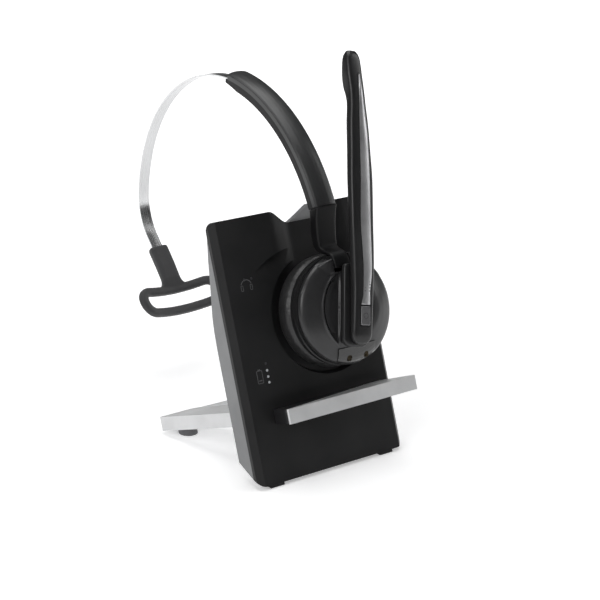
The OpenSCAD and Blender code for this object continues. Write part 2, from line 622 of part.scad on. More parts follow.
dock_front_cover();
dock_back_shell();
dock_circuit_board();
dock_contacts();
dock_magnet();
stand_plate();
ledge_block();
light_guides();
ballast_plate();
front_feet();
rear_foot_pad();
power_inlet();
usb_socket();
phone_sockets();
cover_screws();
page_button();
mode_switch();
arm_outer_shell();
arm_inner_shell();
arm_yoke();
cup_pivot_pin();
arm_screws();
steel_headband();
band_stop();
tbar_clip();
tbar_pin();
tbar_pad();
ear_cushion();
cushion_carrier();
speaker_grille();
speaker_driver();
cup_rear_ring();
cup_front_shell();
cup_hinge_lug();
battery_cell();
headset_circuit_board();
charge_pads();
cable_contacts();
lower_cover();
magnet_keeper();
volume_rocker();
boom_spindle();
spindle_clip();
boom_hub();
boom_arm();
boom_inlay();
mic_capsule();
mic_mesh();
mute_button();
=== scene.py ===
import math

import bmesh
import bpy
from mathutils import Matrix, Vector, noise


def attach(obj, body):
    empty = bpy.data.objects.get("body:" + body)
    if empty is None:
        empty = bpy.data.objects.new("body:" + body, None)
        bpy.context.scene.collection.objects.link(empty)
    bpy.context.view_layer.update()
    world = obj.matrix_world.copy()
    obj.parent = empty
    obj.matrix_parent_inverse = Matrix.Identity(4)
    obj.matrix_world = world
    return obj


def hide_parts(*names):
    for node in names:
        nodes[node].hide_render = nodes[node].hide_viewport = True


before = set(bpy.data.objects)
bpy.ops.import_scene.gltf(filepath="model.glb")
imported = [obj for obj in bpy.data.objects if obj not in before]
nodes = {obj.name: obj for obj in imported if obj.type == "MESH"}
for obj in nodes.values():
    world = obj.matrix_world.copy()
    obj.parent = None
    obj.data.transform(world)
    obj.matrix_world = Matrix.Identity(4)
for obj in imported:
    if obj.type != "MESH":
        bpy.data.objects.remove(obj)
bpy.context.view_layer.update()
scene = bpy.context.scene
MM = 0.001

# ---- the frames of part.scad, in millimetres ----
ORIGIN = (1.8, 93.85)
LEAN = math.radians(18.8)
FOOT_H = 2.0
CUP_X, CUP_U = 11.5, 75.5
ARC_U, ARC_N, BAND_R = 114.0, -75.0, 90.0
BOOM_LEAN = math.radians(13.6)
BAND_OUT, BEND_R, BEND_DEG = math.radians(155), 30.0, math.radians(50)
STEM_LEAN = math.radians(25)


def shift(x, y, z):
    return Matrix.Translation((x, y, z))


def turn(angle, axis):
    return Matrix.Rotation(angle, 4, axis)


FACE = shift(-ORIGIN[0], -ORIGIN[1], FOOT_H) @ turn(math.pi / 2 - LEAN, "X")
CUP = FACE @ shift(CUP_X, CUP_U, 0)
BOOM = CUP @ turn(-BOOM_LEAN, "Z")
END = BAND_OUT + BEND_DEG
END_U = ARC_U + (BAND_R - BEND_R) * math.sin(BAND_OUT) + BEND_R * math.sin(END)
END_N = ARC_N + (BAND_R - BEND_R) * math.cos(BAND_OUT) + BEND_R * math.cos(END)
TBAR = FACE @ shift(CUP_X, END_U, END_N) @ turn(-STEM_LEAN, "X")


# ---- node materials ----
class Look:
    """A procedural material, built from an object-space coordinate."""

    def __init__(self, name, colour, rough, metal=0.0, specular=0.5):
        self.mat = bpy.data.materials.new(name)
        self.mat.use_nodes = True
        self.tree = self.mat.node_tree
        self.shader = self.tree.nodes["Principled BSDF"]
        self.set("Base Color", (*colour, 1))
        self.set("Roughness", rough)
        self.set("Metallic", metal)
        self.set("Specular IOR Level", specular)
        self.coords = self.tree.nodes.new("ShaderNodeTexCoord").outputs["Object"]
        self.normal = None
        self.colour = colour
        self.rough = rough

    def set(self, socket, value):
        self.shader.inputs[socket].default_value = value

    def node(self, kind, **values):
        n = self.tree.nodes.new(kind)
        for key, value in values.items():
            if key in n.inputs:
                n.inputs[key].default_value = value
            else:
                setattr(n, key, value)
        return n

    def link(self, a, b):
        self.tree.links.new(a, b)

    def stretched(self, scale):
        m = self.node("ShaderNodeMapping")
        m.inputs["Scale"].default_value = scale
        self.link(self.coords, m.inputs["Vector"])
        return m.outputs["Vector"]

    def noise(self, scale, detail=3.0, stretch=None):
        n = self.node("ShaderNodeTexNoise", Scale=scale, Detail=detail)
        self.link(self.stretched(stretch) if stretch else self.coords, n.inputs["Vector"])
        return n.outputs["Fac"]

    def ranged(self, value, low, high, source=(0.3, 0.7)):
        r = self.node("ShaderNodeMapRange")
        for key, v in zip(("From Min", "From Max", "To Min", "To Max"), (*source, low, high)):
            r.inputs[key].default_value = v
        self.link(value, r.inputs["Value"])
        return r.outputs["Result"]

    def vary_rough(self, scale, spread, stretch=None):
        v = self.ranged(self.noise(scale, 4, stretch), self.rough - spread, self.rough + spread)
        self.link(v, self.shader.inputs["Roughness"])
        return self

    def vary_colour(self, scale, other, stretch=None, source=(0.35, 0.65)):
        mix = self.node("ShaderNodeMix", data_type="RGBA")
        mix.inputs[6].default_value = (*self.colour, 1)
        mix.inputs[7].default_value = (*other, 1)
        self.link(self.ranged(self.noise(scale, 4, stretch), 0, 1, source), mix.inputs[0])
        self.link(mix.outputs[2], self.shader.inputs["Base Color"])
        return self

    def bump(self, value, strength, depth_mm):
        b = self.node("ShaderNodeBump", Strength=strength, Distance=depth_mm * MM)
        self.link(value, b.inputs["Height"])
        if self.normal:
            self.link(self.normal, b.inputs["Normal"])
        self.normal = b.outputs["Normal"]
        self.link(self.normal, self.shader.inputs["Normal"])
        return self

    def grain(self, per_mm, strength, depth_mm, detail=2.0, stretch=None):
        return self.bump(self.noise(per_mm / MM, detail, stretch), strength, depth_mm)

    def cells(self, per_mm, strength, depth_mm):
        v = self.node("ShaderNodeTexVoronoi", Scale=per_mm / MM, feature="SMOOTH_F1")
        self.link(self.coords, v.inputs["Vector"])
        return self.bump(v.outputs["Distance"], strength, depth_mm)


def moulded(name, colour, rough, specular=0.5, grain=3.0, strength=0.25):
    """Injection-moulded plastic with a fine spark-eroded texture and faint handling marks."""
    look = Look(name, colour, rough, 0, specular)
    look.vary_rough(45, 0.05)
    look.vary_colour(60, tuple(c * 1.18 + 0.001 for c in colour))
    return look.grain(grain, strength, 0.02)


dock_dark = moulded("dock_dark_plastic", (0.0125, 0.0125, 0.013), 0.42, 0.26, 3.5)
dock_grey = moulded("dock_grey_plastic", (0.19, 0.193, 0.197), 0.42, 0.45, 3.0)
block_dark = moulded("ledge_block_plastic", (0.012, 0.012, 0.013), 0.42, 0.35)
socket_black = moulded("socket_plastic", (0.012, 0.012, 0.012), 0.5, 0.4)
arm_satin = moulded("arm_satin_plastic", (0.024, 0.0245, 0.025), 0.36, 0.5, 4.0, 0.15)
arm_black = moulded("arm_black_plastic", (0.0055, 0.0055, 0.006), 0.45, 0.22, 3.5)
cup_black = moulded("cup_black_plastic", (0.009, 0.009, 0.0095), 0.36, 0.45, 3.5)
cup_satin = moulded("cup_satin_plastic", (0.017, 0.017, 0.0178), 0.33, 0.5, 4.0, 0.15)
boom_satin = moulded("boom_satin_plastic", (0.0125, 0.0125, 0.013), 0.34, 0.4, 4.0, 0.15)
gloss_black = moulded("polished_black_plastic", (0.006, 0.006, 0.006), 0.1, 0.5, 1.0, 0.03)
gloss_black.set("Coat Weight", 0.4)
gloss_black.set("Coat Roughness", 0.04)

plate = Look("bead_blasted_aluminium", (0.74, 0.745, 0.75), 0.42, 0.6)
plate.vary_rough(70, 0.05).vary_colour(90, (0.68, 0.685, 0.69)).grain(6, 0.3, 0.012)

trim = Look("satin_silver_trim", (0.56, 0.56, 0.57), 0.36, 0.8)
trim.vary_rough(80, 0.04).vary_colour(120, (0.44, 0.44, 0.45)).grain(7, 0.04, 0.004)

steel = Look("brushed_band_steel", (0.66, 0.665, 0.67), 0.27, 1.0)
steel.vary_rough(1, 0.05, (4200, 40, 40)).vary_colour(1, (0.62, 0.625, 0.63), (2600, 25, 25))
steel.grain(0.001, 0.12, 0.005, 3, (5200, 30, 30))
steel.set("Anisotropic", 0.5)

bare_steel = Look("machined_steel", (0.52, 0.52, 0.53), 0.3, 1.0)
bare_steel.vary_rough(300, 0.08).vary_colour(200, (0.42, 0.42, 0.43)).grain(5, 0.2, 0.01)

gold = Look("gold_plated_contact", (0.86, 0.62, 0.24), 0.22, 1.0)
gold.vary_rough(500, 0.06).vary_colour(300, (0.72, 0.5, 0.18)).grain(6, 0.15, 0.005)

pad_metal = Look("dull_contact", (0.16, 0.13, 0.085), 0.3, 1.0)
pad_metal.vary_rough(500, 0.06).vary_colour(300, (0.1, 0.085, 0.06)).grain(6, 0.15, 0.005)
key_grey = Look("satin_grey_key", (0.2, 0.2, 0.205), 0.34, 0.7)
key_grey.vary_rough(80, 0.05).vary_colour(120, (0.16, 0.16, 0.165)).grain(7, 0.2, 0.01)

rubber = Look("soft_touch_rubber", (0.034, 0.034, 0.0355), 0.62, 0, 0.35)
rubber.vary_rough(50, 0.07).vary_colour(40, (0.044, 0.044, 0.046)).grain(4, 0.4, 0.03)
rubber.set("Sheen Weight", 0.15)
rubber.set("Sheen Roughness", 0.5)

foot_rubber = Look("foot_rubber", (0.022, 0.022, 0.022), 0.75, 0, 0.3)
foot_rubber.vary_rough(90, 0.08).vary_colour(70, (0.04, 0.04, 0.041)).grain(3, 0.5, 0.04)
pad_rubber = Look("grey_pad_rubber", (0.16, 0.16, 0.165), 0.7, 0, 0.3)
pad_rubber.vary_rough(90, 0.08).vary_colour(70, (0.2, 0.2, 0.205)).grain(3, 0.5, 0.04)

leather = Look("black_leatherette", (0.015, 0.015, 0.0155), 0.43, 0, 0.5)
leather.vary_rough(120, 0.08).vary_colour(150, (0.022, 0.022, 0.0225))
leather.cells(1.5, 0.5, 0.09).cells(3.6, 0.35, 0.04).grain(0.35, 0.5, 0.25, 4)

# Light guides: the light colour is painted light standing in for the glow of lit lamps, the dark copy is a
# guide that is not lit
painted_lit_guide = Look("light_guide_painted_lit", (0.62, 0.64, 0.66), 0.25, 0, 0.5)
painted_lit_guide.vary_rough(400, 0.06).vary_colour(300, (0.5, 0.52, 0.55)).grain(5, 0.2, 0.01)
guide_off = Look("light_guide_unlit", (0.035, 0.035, 0.037), 0.3, 0, 0.5)
guide_off.vary_rough(400, 0.06).vary_colour(300, (0.05, 0.05, 0.055)).grain(5, 0.2, 0.01)

board = Look("solder_mask_green", (0.012, 0.09, 0.035), 0.3, 0, 0.5)
board.vary_rough(200, 0.06).vary_colour(600, (0.03, 0.14, 0.06), None, (0.52, 0.56)).grain(2, 0.3, 0.02)
iron = Look("cast_ballast", (0.11, 0.11, 0.115), 0.65, 0.6)
iron.vary_rough(120, 0.1).vary_colour(100, (0.16, 0.15, 0.145)).grain(1.5, 0.6, 0.08)
wrap = Look("battery_film", (0.06, 0.08, 0.16), 0.35, 0, 0.5)
wrap.vary_rough(80, 0.08).vary_colour(70, (0.08, 0.1, 0.19)).grain(0.6, 0.3, 0.05)
mesh_cloth = Look("acoustic_mesh", (0.012, 0.012, 0.012), 0.8, 0, 0.2)
mesh_cloth.cells(4, 0.8, 0.08).vary_colour(800, (0.03, 0.03, 0.03))

# node: (look, bevel in mm)
DRESS = {
    "dock_front_cover": (dock_dark, 0.9), "dock_back_shell": (dock_grey, 0.6),
    "dock_circuit_board": (board, 0.1), "dock_contacts": (gold, 0.2), "dock_magnet": (bare_steel, 0.2),
    "stand_plate": (plate, 0.8), "ledge_block": (block_dark, 0.3), "light_guides": (painted_lit_guide, 0),
    "ballast_plate": (iron, 0.5), "front_feet": (foot_rubber, 0.4), "rear_foot_pad": (pad_rubber, 0.4),
    "power_inlet": (socket_black, 0.2), "usb_socket": (bare_steel, 0.15),
    "phone_sockets": (socket_black, 0.2), "cover_screws": (bare_steel, 0.12),
    "page_button": (dock_dark, 0.3), "mode_switch": (dock_dark, 0.25),
    "arm_outer_shell": (arm_satin, 0.3), "arm_inner_shell": (arm_black, 0.35),
    "arm_yoke": (arm_black, 0.5), "cup_pivot_pin": (bare_steel, 0.15), "arm_screws": (bare_steel, 0.1),
    "steel_headband": (steel, 0.12), "band_stop": (bare_steel, 0.1), "tbar_clip": (arm_black, 0.3),
    "tbar_pin": (bare_steel, 0.1), "tbar_pad": (rubber, 1.0), "ear_cushion": (leather, 0),
    "cushion_carrier": (cup_black, 0.2), "speaker_grille": (cup_black, 0.15),
    "speaker_driver": (cup_black, 0.2), "cup_rear_ring": (cup_black, 0.2),
    "cup_front_shell": (cup_satin, 0.25), "cup_hinge_lug": (cup_black, 0.3), "battery_cell": (wrap, 0.4),
    "headset_circuit_board": (board, 0.1), "charge_pads": (pad_metal, 0.15),
    "cable_contacts": (pad_metal, 0.15),
    "lower_cover": (gloss_black, 0.2), "magnet_keeper": (bare_steel, 0.15),
    "volume_rocker": (cup_satin, 0.25), "boom_spindle": (bare_steel, 0.2), "spindle_clip": (bare_steel, 0.1),
    "boom_hub": (boom_satin, 0.5), "boom_arm": (boom_satin, 0.7), "boom_inlay": (trim, 0.1),
    "mic_capsule": (bare_steel, 0.1), "mic_mesh": (mesh_cloth, 0.1), "mute_button": (trim, 0.3),
}


def paint(obj, look):
    obj.data.materials.clear()
    obj.data.materials.append(look.mat)


def round_edges(obj, width, segments=3, angle=32):
    m = obj.modifiers.new("edge", "BEVEL")
    m.width = width * MM
    m.segments = segments
    m.limit_method = "ANGLE"
    m.angle_limit = math.radians(angle)
    m.use_clamp_overlap = True
    m.harden_normals = True
    m.miter_outer = "MITER_ARC"


for name, (look, width) in DRESS.items():
    part = nodes[name]
    paint(part, look)
    for polygon in part.data.polygons:
        polygon.use_smooth = True
    if width:
        round_edges(part, width)


# Guides above this height on the face, and any right of its middle, look unlit; the rest get a light colour
# that is painted light, the glow of their lamps
LIT_GUIDE_TOP_U = 56
lights = nodes["light_guides"]
lights.data.materials.append(guide_off.mat)
for polygon in lights.data.polygons:
    spot = FACE.inverted() @ (polygon.center / MM)
    if spot.y > LIT_GUIDE_TOP_U or spot.x > 0:
        polygon.material_index = 1


# ---- mesh helpers ----
def mesh_object(name, verts, faces, place, smooth=True):
    """A linked mesh object from points in millimetres, with its faces turned outward."""
    mesh = bpy.data.meshes.new(name)
    mesh.from_pydata([(place @ Vector(v)) * MM for v in verts], [], faces)
    mesh.validate()
    obj = bpy.data.objects.new(name, mesh)
    scene.collection.objects.link(obj)
    bm = bmesh.new()
    bm.from_mesh(mesh)
    bmesh.ops.recalc_face_normals(bm, faces=bm.faces)
    for f in bm.faces:
        f.smooth = smooth
    bm.to_mesh(mesh)
    bm.free()
    return obj


def add_piece(name, verts, faces, place, body, look, slot, replaced=(), smooth=True):
    obj = mesh_object(name, verts, faces, place, smooth)
    paint(obj, look)
    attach(obj, body)
    if replaced:
        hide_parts(*replaced)
    return obj


def loft(rings, closed=False):
    """Points and faces of a skin over rings that have the same number of points."""
    n = len(rings[0])
    verts = [p for ring in rings for p in ring]
    faces = []
    for i in range(len(rings) if closed else len(rings) - 1):
        a, b = i * n, (i + 1) % len(rings) * n
        faces += [(a + j, a + (j + 1) % n, b + (j + 1) % n, b + j) for j in range(n)]
    if not closed:
        faces += [tuple(range(n)), tuple(range(len(verts) - n, len(verts)))]
    return verts, faces


def bake(obj):
    """Applies the object's modifiers to its mesh."""
    depsgraph = bpy.context.evaluated_depsgraph_get()
    mesh = bpy.data.meshes.new_from_object(obj.evaluated_get(depsgraph))
    obj.modifiers.clear()
    old, obj.data = obj.data, mesh
    bpy.data.meshes.remove(old)


def follow(table, t):
    """A smooth curve through a table of (place, value) pairs."""
    if t <= table[0][0]:
        return table[0][1]
    if t >= table[-1][0]:
        return table[-1][1]
    slopes = [(b[1] - a[1]) / (b[0] - a[0]) for a, b in zip(table, table[1:])]
    i = next(k for k in range(len(slopes)) if t <= table[k + 1][0])
    ends = []
    for k in (i, i + 1):
        if k == 0 or k == len(slopes) or slopes[k - 1] * slopes[k] <= 0:
            ends.append(slopes[min(k, len(slopes) - 1)] if k in (0, len(slopes)) else 0.0)
        else:
            ends.append(2 * slopes[k - 1] * slopes[k] / (slopes[k - 1] + slopes[k]))
    (x0, y0), (x1, y1) = table[i], table[i + 1]
    h, s = x1 - x0, (t - x0) / (x1 - x0)
    return (y0 * (1 + 2 * s) * (1 - s) ** 2 + h * ends[0] * s * (1 - s) ** 2
            + y1 * s * s * (3 - 2 * s) + h * ends[1] * s * s * (s - 1))


# ---- ear cushion: a puffed leatherette ring ----
CUSHION_R = (12.9, 27.6)
CUSHION_Z = (-2.3, 10.0)
CUSHION_VOXEL = 1.1
CUSHION_CAP = 0.85
GLUED_Z = 9.2
SEAM_Z = 8.3
LOWEST_Z = -3.0
SETTLE_FRAMES = 20


def cushion_section(r0, r1, z0, z1, steps=40, power=0.66):
    points = []
    for i in range(steps):
        a = 2 * math.pi * i / steps
        c, s = math.cos(a), math.sin(a)
        points.append(((r0 + r1) / 2 + (r1 - r0) / 2 * math.copysign(abs(c) ** power, c),
                       (z0 + z1) / 2 + (z1 - z0) / 2 * math.copysign(abs(s) ** power, s)))
    return points


def ring_of(section, steps):
    rings = []
    for i in range(steps):
        a = 2 * math.pi * i / steps
        rings.append([(r * math.cos(a), r * math.sin(a), z) for r, z in section])
    return loft(rings, closed=True)


def gathered(p):
    """Moves a point by the gathers near the outer seam, the seam's groove and soft inner dimples."""
    r, angle = math.hypot(p.x, p.y), math.atan2(p.y, p.x)
    outer = min(1.0, max(0.0, (r - 22) / 4))
    inner = min(1.0, max(0.0, (18 - r) / 4))
    near_seam = math.exp(-((p.z - 7.6) / 2.6) ** 2)
    pleat = noise.noise(Vector((angle * 11, p.z * 0.12, 3)))
    pleat += 0.5 * noise.noise(Vector((angle * 26, p.z * 0.2, 9)))
    groove = -0.42 * math.exp(-((p.z - SEAM_Z) / 0.42) ** 2) * outer
    dimple = 0.3 * inner * noise.noise(Vector((angle * 9, p.z * 0.2, 5)))
    radial = Vector((p.x, p.y, 0)).normalized()
    p = p + radial * (0.34 * pleat * near_seam * outer + groove - dimple)
    p.z = max(p.z, LOWEST_Z)
    return p


verts, faces = ring_of(cushion_section(*CUSHION_R, *CUSHION_Z), 120)
cushion = add_piece("ear_cushion_leather", verts, faces, CUP, "ear_cup", leather, "cushion", ["ear_cushion"])
from_cup = CUP.inverted()
start_remesh = cushion.modifiers.new("remesh", "REMESH")
start_remesh.mode = "VOXEL"
start_remesh.voxel_size = CUSHION_VOXEL * MM
bake(cushion)
grip = cushion.vertex_groups.new(name="glued")
before = [v.co.copy() for v in cushion.data.vertices]
glued = [v.index for v in cushion.data.vertices if (from_cup @ (v.co / MM)).z > GLUED_Z]
grip.add(glued, 1.0, "REPLACE")
cloth = cushion.modifiers.new("cloth", "CLOTH")
cloth.settings.use_pressure = True
cloth.settings.uniform_pressure_force = 4
cloth.settings.vertex_group_mass = "glued"
cloth.settings.effector_weights.gravity = 0
cloth.settings.mass = 0.1
cloth.point_cache.frame_start = 1
cloth.point_cache.frame_end = SETTLE_FRAMES
for f in range(1, SETTLE_FRAMES + 1):
    scene.frame_set(f)
bake(cushion)
scene.frame_set(1)
for v, old in zip(cushion.data.vertices, before):
    move = v.co - old
    if move.length > CUSHION_CAP * MM:
        v.co = old + move * (CUSHION_CAP * MM / move.length)
for polygon in cushion.data.polygons:
    polygon.use_smooth = True
for v in cushion.data.vertices:
    v.co = (CUP @ gathered(from_cup @ (v.co / MM))) * MM
smoother = cushion.modifiers.new("soft", "SUBSURF")
smoother.levels = smoother.render_levels = 1
bake(cushion)


# ---- rounded forms ----
def rounded(w, low, high, r, crown=0.0, corner=5, span=4):
    """Ring of points round a box section, wide 2w, with rounded corners and a crowned top."""
    r = min(r, w * 0.98, (high - low) * 0.49)
    points = []
    corners = ((w - r, high - r, 0), (r - w, high - r, 90), (r - w, low + r, 180), (w - r, low + r, 270))
    for cx, cz, start in corners:
        for i in range(corner + 1):
            a = math.radians(start + 90 * i / corner)
            points.append((cx + r * math.cos(a), cz + r * math.sin(a)))
        if start == 0:
            points += [(cx - 2 * cx * k / span, high) for k in range(1, span)]
    return [(x, z + crown * (1 - (x / w) ** 2) * (z > (low + high) / 2)) for x, z in points]


def boolean_cut(obj, verts, faces, place):
    """Cuts a closed form, given as points and faces in millimetres, out of the object."""
    tool = mesh_object("cutter", verts, faces, place)
    tool_mesh = tool.data
    m = obj.modifiers.new("cut", "BOOLEAN")
    m.operation = "DIFFERENCE"
    m.solver = "EXACT"
    m.object = tool
    bake(obj)
    bpy.data.objects.remove(tool)
    bpy.data.meshes.remove(tool_mesh)


def box_form(x0, x1, y0, y1, z0, z1):
    return loft([[(x0, y0, z), (x1, y0, z), (x1, y1, z), (x0, y1, z)] for z in (z0, z1)])


def smooth_by_angle(obj, degrees=35):
    for polygon in obj.data.polygons:
        polygon.use_smooth = True
    obj.data.set_sharp_from_angle(angle=math.radians(degrees))


# ---- boom: one tapering, crowned form that bows towards its tip ----
# Each table gives a value at places along the boom: sideways bow, half width, top and underside
BOOM_FOOT, BOOM_L = -17.6, 123.5
BOOM_BOW = [(-18, 1.6), (8, 1.6), (18, 1.35), (42, 0), (64, -0.65), (88, -1.65), (102, -2.1), (113, -3.1),
            (124, -3.4)]
BOOM_WIDTH = [(BOOM_FOOT, 1.2), (-17.3, 2.6), (-16.4, 4.0), (-14.8, 5.1), (-12, 5.6), (8, 5.7), (20, 6.1),
              (42, 6.4), (60, 6.5), (75, 5.9), (88, 5.35), (98, 4.5), (106, 4.3), (113, 4.3), (119, 4.1),
              (121.6, 3.6), (123, 2.9), (BOOM_L, 2.3)]
BOOM_HIGH = [(BOOM_FOOT, 29.0), (-16.4, 30.2), (-13, 31.0), (10, 31.8), (45, 32.6), (80, 32.0), (108, 30.2),
             (119, 28.7), (122, 27.9), (BOOM_L, 26.9)]
BOOM_LOW = [(BOOM_FOOT, 26.8), (6, 26.7), (20, 27.2), (45, 27.6), (80, 26.6), (98, 25.5), (102, 24.4),
            (106, 22.9), (110, 22.6), (119, 22.8), (121.5, 23.2), (BOOM_L, 24.2)]
CROWN = 0.3
KEY_X, KEY_Y = (-0.45, 4.75), (-8.6, 0.6)
KEY_GAP = 0.3


def boom_ring(y):
    w, low, high, c = (follow(t, y) for t in (BOOM_WIDTH, BOOM_LOW, BOOM_HIGH, BOOM_BOW))
    return [(x + c, y, z) for x, z in rounded(w, low, high - CROWN, 1.7, CROWN)]


# The rings lie closer together at the foot and at the tip, where the form turns quickly
stations = [BOOM_FOOT, -17.5, -17.2, -16.8, -16.2, -15.4, -14.2, -12.6] + [-11 + 2.2 * i for i in range(50)]
stations += [98 + 1.2 * i for i in range(18)] + [119.6, 120.6, 121.6, 122.4, 123, 123.35, BOOM_L]
stations = sorted(set(round(y, 2) for y in stations))
boom = add_piece("boom_arm_skin", *loft([boom_ring(y) for y in stations]), BOOM, "boom", boom_satin,
                 "boom_satin", ["boom_arm"])
pocket = box_form(KEY_X[0] - KEY_GAP, KEY_X[1] + KEY_GAP, KEY_Y[0] - KEY_GAP, KEY_Y[1] + KEY_GAP, 29.6, 36)
boolean_cut(boom, *pocket, BOOM)
smooth_by_angle(boom, 40)

# Silver strip let into the boom's face, with the tab that meets the mute key
INLAY_START, INLAY_END = 1.3, 112
INLAY_LEFT = [(INLAY_START, -2.1), (5.2, -1.2), (6.2, -1.05), (18, -1.0), (30, -1.5), (41, -1.9), (60, -1.4),
              (76, -1.05), (100, -0.1), (INLAY_END, 1.2)]
INLAY_RIGHT = [(INLAY_START, 2.8), (5.2, 2.7), (6.2, 2.6), (18, 3.7), (41, 3.7), (76, 3.6), (100, 2.2),
               (INLAY_END, 1.6)]


def boom_top(x, y):
    w, high = follow(BOOM_WIDTH, y), follow(BOOM_HIGH, y)
    return high - CROWN + CROWN * (1 - min(1, (x / w) ** 2))


def inlay_ring(y, proud):
    a, b, c = follow(INLAY_LEFT, y), follow(INLAY_RIGHT, y), follow(BOOM_BOW, y)
    points = []
    for k in range(9):
        x = a + (b - a) * k / 8
        edge_drop = 0.06 if k in (0, 8) else 0
        points.append((x + c, y, boom_top(x, y) + proud - edge_drop + 0.3 * (1 - (k / 4 - 1) ** 2)))
    for k in range(8, -1, -1):
        x = a + (b - a) * k / 8
        points.append((x + c, y, boom_top(x, y) - 0.7))
    return points


rows = [INLAY_START, 1.5, 3, 4.2, 5, 5.4, 5.8, 6.4] + [7.5 + 2.2 * i for i in range(47)]
rows += [110.8, 111.6, INLAY_END]
strip = [inlay_ring(y, 0.34 if 1.4 < y < 111.7 else 0.15) for y in rows]
inlay = add_piece("boom_inlay_strip", *loft(strip), BOOM, "boom", trim, "silver_trim", ["boom_inlay"])
smooth_by_angle(inlay, 40)

# Mute key with a ring symbol
KEY_TOP = 31.85
key = add_piece("mute_key_cap", *box_form(*KEY_X, *KEY_Y, 30.3, KEY_TOP), BOOM, "mute_key", key_grey,
                "silver_trim", ["mute_button"])
round_edges(key, 0.45)
ring_rings = []
for i in range(40):
    a = 2 * math.pi * i / 40
    ring_rings.append([(2.15 + r * math.cos(a), -4.0 + r * math.sin(a), z)
                       for r, z in ((1.1, 31.8), (1.1, 31.88), (1.4, 31.88), (1.4, 31.8))])
mark = Look("printed_mark", (0.03, 0.03, 0.032), 0.5)
mark.vary_rough(300, 0.05).vary_colour(400, (0.045, 0.045, 0.047)).grain(6, 0.2, 0.01)
add_piece("mute_key_ring_mark", *loft(ring_rings, closed=True), BOOM, "mute_key", mark, "boom_satin")

# Short marks across the strip, the last one shorter
for i in range(4):
    x0, y0 = 1.0 + 0.25 * i, 7.6 + 1.5 * i
    length = 3.0 if i < 3 else 2.2
    tick = box_form(x0, x0 + length, y0, y0 + 0.35, 31.75, 32.3 + 0.03 * i)
    add_piece("strip_tick_%d" % (i + 1), *tick, BOOM, "boom", mark, "boom_satin")

# ---- hub plate under the boom's foot ----
HUB_LEFT, HUB_RIGHT, HUB_BOTTOM, HUB_TOP = -6.8, 8, -18.5, 21


def hub_outline(inset):
    points = []
    for x, y, r, start in ((HUB_RIGHT, HUB_TOP, 3, 0), (HUB_LEFT, HUB_TOP, 2, 90),
                           (HUB_LEFT, HUB_BOTTOM, 4, 180), (HUB_RIGHT, HUB_BOTTOM, 4, 270)):
        cx, cy = x - math.copysign(r + inset, x), y - math.copysign(r + inset, y)
        for i in range(7):
            a = math.radians(start + 15 * i)
            points.append((cx + r * math.cos(a), cy + r * math.sin(a)))
    return points


# Height and inset of each ring of the plate
levels = [(24.0, 0.25), (24.25, 0.0), (25.7, 0.0), (26.2, 0.15), (26.5, 0.45), (26.6, 0.9)]
hub_rings = [[(x, y, z) for x, y in hub_outline(inset)] for z, inset in levels]
hub = add_piece("boom_hub_plate", *loft(hub_rings), BOOM, "boom", boom_satin, "boom_satin", ["boom_hub"])
smooth_by_angle(hub, 40)

# ---- cup housing: a conical dome with a ridge round its recessed lens ----
HOUSING_R, HOUSING_BASE = 26.6, 16.45
DOME = [(0, 23.4), (12, 23.35), (15.5, 23.0), (19, 21.9), (22, 20.6), (24.4, 19.4), (25.8, 18.4),
        (26.4, 17.5), (HOUSING_R, 16.5)]
LENS_C, LENS_R, LENS_EDGE, LENS_FLOOR = 4.8, 20.7, -7.0, 22.1
HOOD_START, HOOD_Z = 12, 22.45
NOTCH_HALF, NOTCH_START, NOTCH_FLOOR = 5.2, 18.5, 17.0
UNTILT = turn(-BOOM_LEAN, "Z").inverted()


def dome_height(x, y):
    """Height of the dome, with its lens, the ridge round it, the hood under the neck and the notch."""
    r = math.hypot(x, y)
    z = follow(DOME, r)
    p = UNTILT @ Vector((x, y, 0))
    outside = max(math.hypot(p.x - LENS_C, p.y) - LENS_R, p.x - LENS_EDGE)
    ridge = math.exp(-((outside - 0.55) / 0.5) ** 2) * (p.x < LENS_EDGE - 0.2)
    inside = min(1.0, max(0.0, 0.5 - outside / 0.5))
    floor_z = min(z, LENS_FLOOR)
    z = z + (floor_z - z) * inside + 0.42 * ridge
    if y > HOOD_START:
        hood = HOOD_Z - 0.3 * max(0, abs(x) - 6.6) ** 1.5 - 0.22 * max(0, 19 - y) ** 1.5
        z = (z + hood + math.sqrt((z - hood) ** 2 + 0.25)) / 2
        z -= (z - 17.5) * min(1, max(0, r - 25.6))
    if abs(x) < NOTCH_HALF and y > NOTCH_START:
        z = min(z, NOTCH_FLOOR)
    return z


RADII = [0.4 + 26.2 * i / 84 for i in range(85)]
SPOKES = 220
ROUND = [(math.cos(2 * math.pi * i / SPOKES), math.sin(2 * math.pi * i / SPOKES)) for i in range(SPOKES)]
verts = [(0, 0, dome_height(0, 0))]
verts += [(r * c, r * q, dome_height(r * c, r * q)) for r in RADII for c, q in ROUND]
faces = [(0, 1 + i, 1 + (i + 1) % SPOKES) for i in range(SPOKES)]
for k in range(len(RADII) - 1):
    a, b = 1 + k * SPOKES, 1 + (k + 1) * SPOKES
    faces += [(a + i, b + i, b + (i + 1) % SPOKES, a + (i + 1) % SPOKES) for i in range(SPOKES)]
rim, base = 1 + (len(RADII) - 1) * SPOKES, len(verts)
verts += [(HOUSING_R * c, HOUSING_R * q, HOUSING_BASE) for c, q in ROUND]
verts.append((0, 0, HOUSING_BASE))
faces += [(rim + i, base + i, base + (i + 1) % SPOKES, rim + (i + 1) % SPOKES) for i in range(SPOKES)]
faces += [(base + i, base + SPOKES, base + (i + 1) % SPOKES) for i in range(SPOKES)]
housing = add_piece("cup_housing_dome", verts, faces, CUP, "ear_cup", cup_satin, "cup_satin",
                    ["cup_front_shell"])
smooth_by_angle(housing, 50)

